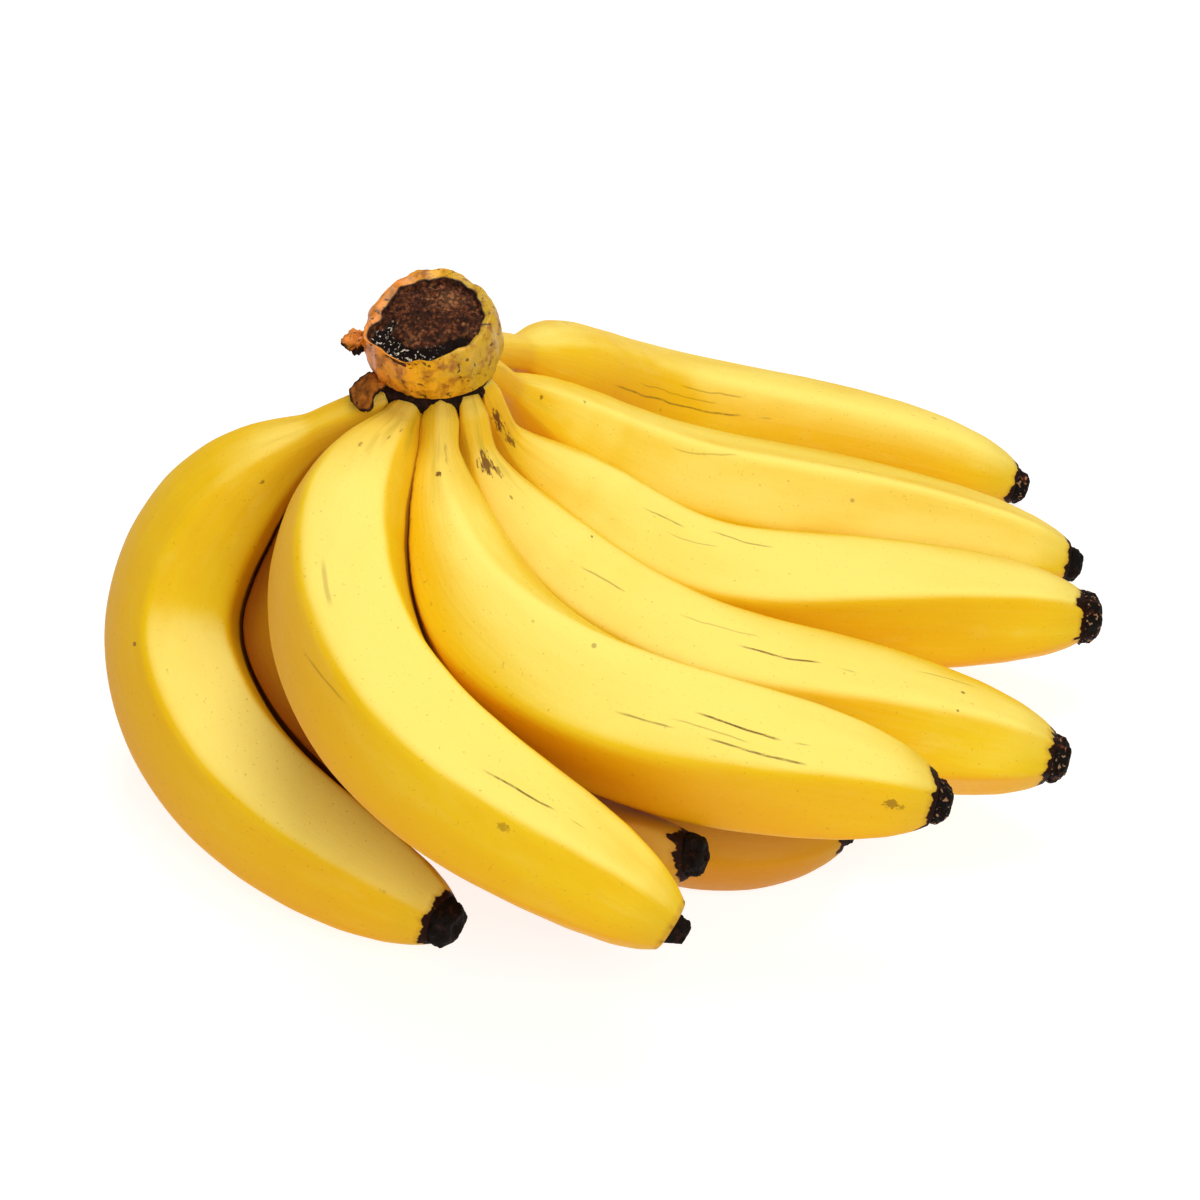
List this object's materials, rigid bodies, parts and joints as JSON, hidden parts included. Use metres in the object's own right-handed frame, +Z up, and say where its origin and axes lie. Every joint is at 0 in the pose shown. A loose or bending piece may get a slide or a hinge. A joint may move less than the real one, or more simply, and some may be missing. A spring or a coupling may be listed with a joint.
{
  "type": "bunch of bananas",
  "caption": "Hand of ripe yellow bananas fanned out from one crown, in an outer row over an inner row, lying on its inner side.",
  "frame": {"origin": "on the surface it lies on, under the middle of the bunch's bounding box", "axes": "+Z up from the surface, +X from the crown's side towards the flower ends of the longest fruits, +Y away from the fruit that lies along the near side"},
  "size_m": [0.2527, 0.2251, 0.118],
  "materials": {
    "banana_peel": "ripe yellow peel with a soft waxy sheen",
    "dried_flower_end": "rough dry black-brown",
    "crown_skin": "dull ochre and brown, dry and fibrous at the cut"
  },
  "bodies": {
    "root": {"crown": "crown_skin", "banana_1": "banana_peel", "banana_2": "banana_peel", "banana_3": "banana_peel", "banana_4": "banana_peel", "banana_5": "banana_peel", "banana_6": "banana_peel", "banana_7": "banana_peel", "banana_8": "banana_peel", "banana_9": "banana_peel", "dried_end_1": "dried_flower_end", "dried_end_2": "dried_flower_end", "dried_end_3": "dried_flower_end", "dried_end_4": "dried_flower_end", "dried_end_5": "dried_flower_end", "dried_end_6": "dried_flower_end", "dried_end_7": "dried_flower_end", "dried_end_8": "dried_flower_end", "dried_end_9": "dried_flower_end"}
  },
  "joints": []
}
